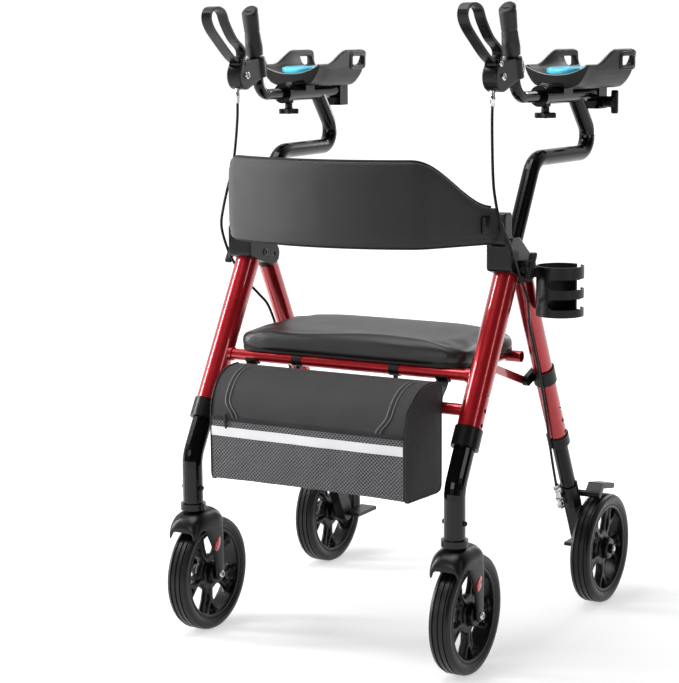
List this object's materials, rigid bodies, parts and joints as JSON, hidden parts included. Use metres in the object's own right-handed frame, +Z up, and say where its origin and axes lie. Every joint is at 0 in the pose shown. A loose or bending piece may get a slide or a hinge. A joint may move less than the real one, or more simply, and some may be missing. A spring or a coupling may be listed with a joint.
{
  "type": "upright walker",
  "caption": "Folding wheeled upright walker with forearm trays, upright brake grips, padded seat, backrest band, storage bag and cup holder.",
  "frame": {"origin": "on the floor, midway between the left and right legs, under a point just behind the frame joints", "axes": "+Z up; -Y to the front, the way the walker rolls; +X to the user's left, the side with the cup holder"},
  "size_m": [0.6946, 0.6817, 1.0878],
  "materials": {
    "red_paint": "gloss",
    "black_paint": "gloss",
    "satin_black": "satin",
    "black_plastic": "matte",
    "grip_rubber": "matte",
    "tyre_rubber": "matte",
    "gel": "satin",
    "vinyl": "satin",
    "band_fabric": "matte",
    "bag_fabric": "matte",
    "board_wood": "matte",
    "bright_steel": "polished",
    "cable_sheath": "satin"
  },
  "bodies": {
    "frame": {"front_frame": "red_paint", "left_joint": "satin_black", "right_joint": "satin_black", "front_collars": "satin_black", "backrest_band": "band_fabric", "storage_bag": "bag_fabric", "cup_holder": "black_plastic", "left_cable": "cable_sheath", "right_cable": "cable_sheath"},
    "seat": {"seat_frame": "red_paint", "seat_board": "board_wood", "seat_pad": "vinyl"},
    "left_rear": {"left_rear_leg": "red_paint", "left_rear_fittings": "satin_black"},
    "left_link": {"left_seat_link": "red_paint"},
    "left_front_stem": {"left_front_inner_leg": "black_paint"},
    "left_rear_stem": {"left_rear_inner_leg": "black_paint", "left_axle_bracket": "satin_black"},
    "left_front_snap": {"left_front_button": "bright_steel"},
    "left_rear_snap": {"left_rear_button": "bright_steel"},
    "left_caster": {"left_fork": "satin_black"},
    "left_front_wheel": {"left_front_rim": "black_plastic", "left_front_tyre": "tyre_rubber"},
    "left_rear_wheel": {"left_rear_rim": "black_plastic", "left_rear_tyre": "tyre_rubber"},
    "left_brake": {"left_brake_arm": "black_plastic"},
    "left_armrest": {"left_post": "black_paint", "left_tray": "black_plastic", "left_gel_pad": "gel"},
    "left_handle_set": {"left_handle": "black_paint", "left_grip": "grip_rubber", "left_brake_housing": "satin_black"},
    "left_lever": {"left_brake_lever": "satin_black"},
    "left_star": {"left_star_knob": "black_plastic"},
    "left_wing": {"left_tray_knob": "black_plastic"},
    "left_lock": {"left_post_knob": "black_plastic"},
    "right_rear": {"right_rear_leg": "red_paint", "right_rear_fittings": "satin_black"},
    "right_link": {"right_seat_link": "red_paint"},
    "right_front_stem": {"right_front_inner_leg": "black_paint"},
    "right_rear_stem": {"right_rear_inner_leg": "black_paint", "right_axle_bracket": "satin_black"},
    "right_front_snap": {"right_front_button": "bright_steel"},
    "right_rear_snap": {"right_rear_button": "bright_steel"},
    "right_caster": {"right_fork": "satin_black"},
    "right_front_wheel": {"right_front_rim": "black_plastic", "right_front_tyre": "tyre_rubber"},
    "right_rear_wheel": {"right_rear_rim": "black_plastic", "right_rear_tyre": "tyre_rubber"},
    "right_brake": {"right_brake_arm": "black_plastic"},
    "right_armrest": {"right_post": "black_paint", "right_tray": "black_plastic", "right_gel_pad": "gel"},
    "right_handle_set": {"right_handle": "black_paint", "right_grip": "grip_rubber", "right_brake_housing": "satin_black"},
    "right_lever": {"right_brake_lever": "satin_black"},
    "right_star": {"right_star_knob": "black_plastic"},
    "right_wing": {"right_tray_knob": "black_plastic"},
    "right_lock": {"right_post_knob": "black_plastic"}
  },
  "joints": [
    {"name": "fold", "type": "hinge", "parent": "frame", "child": "left_rear", "pos_m": [0.254, -0.01, 0.646], "axis": [-1, 0, 0], "range_deg": [0, 28], "deforming": ["left_cable", "right_cable"]},
    {"name": "right_fold", "type": "hinge", "parent": "frame", "child": "right_rear", "pos_m": [-0.254, -0.01, 0.646], "axis": [-1, 0, 0], "range_deg": [0, 28], "deforming": ["right_cable"]},
    {"name": "seat_fold", "type": "hinge", "parent": "frame", "child": "seat", "pos_m": [0, -0.152, 0.48372], "axis": [1, 0, 0], "range_deg": [0, 54.3]},
    {"name": "left_link_turn", "type": "hinge", "parent": "left_rear", "child": "left_link", "pos_m": [0.225, 0.068, 0.44], "axis": [-1, 0, 0], "range_deg": [0, 15.2]},
    {"name": "left_front_leg_slide", "type": "slide", "parent": "frame", "child": "left_front_stem", "axis": [0, -0.5, -0.866], "range_m": [0, 0.05], "deforming": ["left_front_button"]},
    {"name": "left_rear_leg_slide", "type": "slide", "parent": "left_rear", "child": "left_rear_stem", "axis": [0, 0.454, -0.891], "range_m": [0, 0.05], "deforming": ["left_rear_button", "left_cable"]},
    {"name": "left_front_snap_push", "type": "slide", "parent": "left_front_stem", "child": "left_front_snap", "axis": [-1, 0, 0], "range_m": [0, 0.004], "stiffness_N_per_m": 600},
    {"name": "left_rear_snap_push", "type": "slide", "parent": "left_rear_stem", "child": "left_rear_snap", "axis": [-1, 0, 0], "range_m": [0, 0.004], "stiffness_N_per_m": 600},
    {"name": "left_caster_swivel", "type": "hinge", "parent": "left_front_stem", "child": "left_caster", "pos_m": [0.254, -0.2485, 0.225], "axis": [0, 0, 1], "continuous": true},
    {"name": "left_front_wheel_spin", "type": "hinge", "parent": "left_caster", "child": "left_front_wheel", "pos_m": [0.254, -0.2085, 0.1], "axis": [1, 0, 0], "continuous": true},
    {"name": "left_rear_wheel_spin", "type": "hinge", "parent": "left_rear_stem", "child": "left_rear_wheel", "pos_m": [0.29, 0.27324, 0.1], "axis": [1, 0, 0], "continuous": true},
    {"name": "left_post_slide", "type": "slide", "parent": "frame", "child": "left_armrest", "axis": [0, 0.5, 0.866], "range_m": [0, 0.1], "deforming": ["left_cable"]},
    {"name": "left_handle_slide", "type": "slide", "parent": "left_armrest", "child": "left_handle_set", "axis": [-0.0523, -0.9986, 0], "range_m": [0, 0.04], "deforming": ["left_cable"]},
    {"name": "left_lever_squeeze", "type": "hinge", "parent": "left_handle_set", "child": "left_lever", "pos_m": [0.24654, -0.09681, 0.987], "axis": [-0.9986, 0.0523, 0], "range_deg": [0, 17], "stiffness_Nm_per_rad": 1.2},
    {"name": "left_brake_press", "type": "hinge", "parent": "left_rear_stem", "child": "left_brake", "pos_m": [0.284, 0.23924, 0.207], "axis": [-1, 0, 0], "range_deg": [0, 3.96]},
    {"name": "left_star_turn", "type": "hinge", "parent": "left_armrest", "child": "left_star", "pos_m": [0.25611, 0.08594, 0.88], "axis": [0, 0, 1], "continuous": true},
    {"name": "left_wing_turn", "type": "hinge", "parent": "left_armrest", "child": "left_wing", "pos_m": [0.26611, 0.27668, 0.914], "axis": [0.9986, -0.0523, 0], "continuous": true},
    {"name": "left_lock_turn", "type": "hinge", "parent": "frame", "child": "left_lock", "pos_m": [0.284, -0.053, 0.6552], "axis": [1, 0, 0], "continuous": true},
    {"name": "right_link_turn", "type": "hinge", "parent": "right_rear", "child": "right_link", "pos_m": [-0.225, 0.068, 0.44], "axis": [-1, 0, 0], "range_deg": [0, 15.2]},
    {"name": "right_front_leg_slide", "type": "slide", "parent": "frame", "child": "right_front_stem", "axis": [0, -0.5, -0.866], "range_m": [0, 0.05], "deforming": ["right_front_button"]},
    {"name": "right_rear_leg_slide", "type": "slide", "parent": "right_rear", "child": "right_rear_stem", "axis": [0, 0.454, -0.891], "range_m": [0, 0.05], "deforming": ["right_rear_button", "right_cable"]},
    {"name": "right_front_snap_push", "type": "slide", "parent": "right_front_stem", "child": "right_front_snap", "axis": [1, 0, 0], "range_m": [0, 0.004], "stiffness_N_per_m": 600},
    {"name": "right_rear_snap_push", "type": "slide", "parent": "right_rear_stem", "child": "right_rear_snap", "axis": [1, 0, 0], "range_m": [0, 0.004], "stiffness_N_per_m": 600},
    {"name": "right_caster_swivel", "type": "hinge", "parent": "right_front_stem", "child": "right_caster", "pos_m": [-0.254, -0.2485, 0.225], "axis": [0, 0, 1], "continuous": true},
    {"name": "right_front_wheel_spin", "type": "hinge", "parent": "right_caster", "child": "right_front_wheel", "pos_m": [-0.254, -0.2085, 0.1], "axis": [1, 0, 0], "continuous": true},
    {"name": "right_rear_wheel_spin", "type": "hinge", "parent": "right_rear_stem", "child": "right_rear_wheel", "pos_m": [-0.29, 0.27324, 0.1], "axis": [1, 0, 0], "continuous": true},
    {"name": "right_post_slide", "type": "slide", "parent": "frame", "child": "right_armrest", "axis": [0, 0.5, 0.866], "range_m": [0, 0.1], "deforming": ["right_cable"]},
    {"name": "right_handle_slide", "type": "slide", "parent": "right_armrest", "child": "right_handle_set", "axis": [0.0523, -0.9986, 0], "range_m": [0, 0.04], "deforming": ["right_cable"]},
    {"name": "right_lever_squeeze", "type": "hinge", "parent": "right_handle_set", "child": "right_lever", "pos_m": [-0.24654, -0.09681, 0.987], "axis": [-0.9986, -0.0523, 0], "range_deg": [0, 17], "stiffness_Nm_per_rad": 1.2},
    {"name": "right_brake_press", "type": "hinge", "parent": "right_rear_stem", "child": "right_brake", "pos_m": [-0.284, 0.23924, 0.207], "axis": [-1, 0, 0], "range_deg": [0, 3.96]},
    {"name": "right_star_turn", "type": "hinge", "parent": "right_armrest", "child": "right_star", "pos_m": [-0.25611, 0.08594, 0.88], "axis": [0, 0, 1], "continuous": true},
    {"name": "right_wing_turn", "type": "hinge", "parent": "right_armrest", "child": "right_wing", "pos_m": [-0.26611, 0.27668, 0.914], "axis": [0.9986, 0.0523, 0], "continuous": true},
    {"name": "right_lock_turn", "type": "hinge", "parent": "frame", "child": "right_lock", "pos_m": [-0.284, -0.053, 0.6552], "axis": [1, 0, 0], "continuous": true}
  ],
  "couplings": [
    {"joint": "right_fold", "follows": "fold", "ratio": 1},
    {"joint": "seat_fold", "follows": "fold", "ratio": 1.938},
    {"joint": "left_link_turn", "follows": "fold", "ratio": 0.542},
    {"joint": "left_brake_press", "follows": "left_lever_squeeze", "ratio": 0.23},
    {"joint": "right_link_turn", "follows": "fold", "ratio": 0.542},
    {"joint": "right_brake_press", "follows": "right_lever_squeeze", "ratio": 0.23}
  ]
}
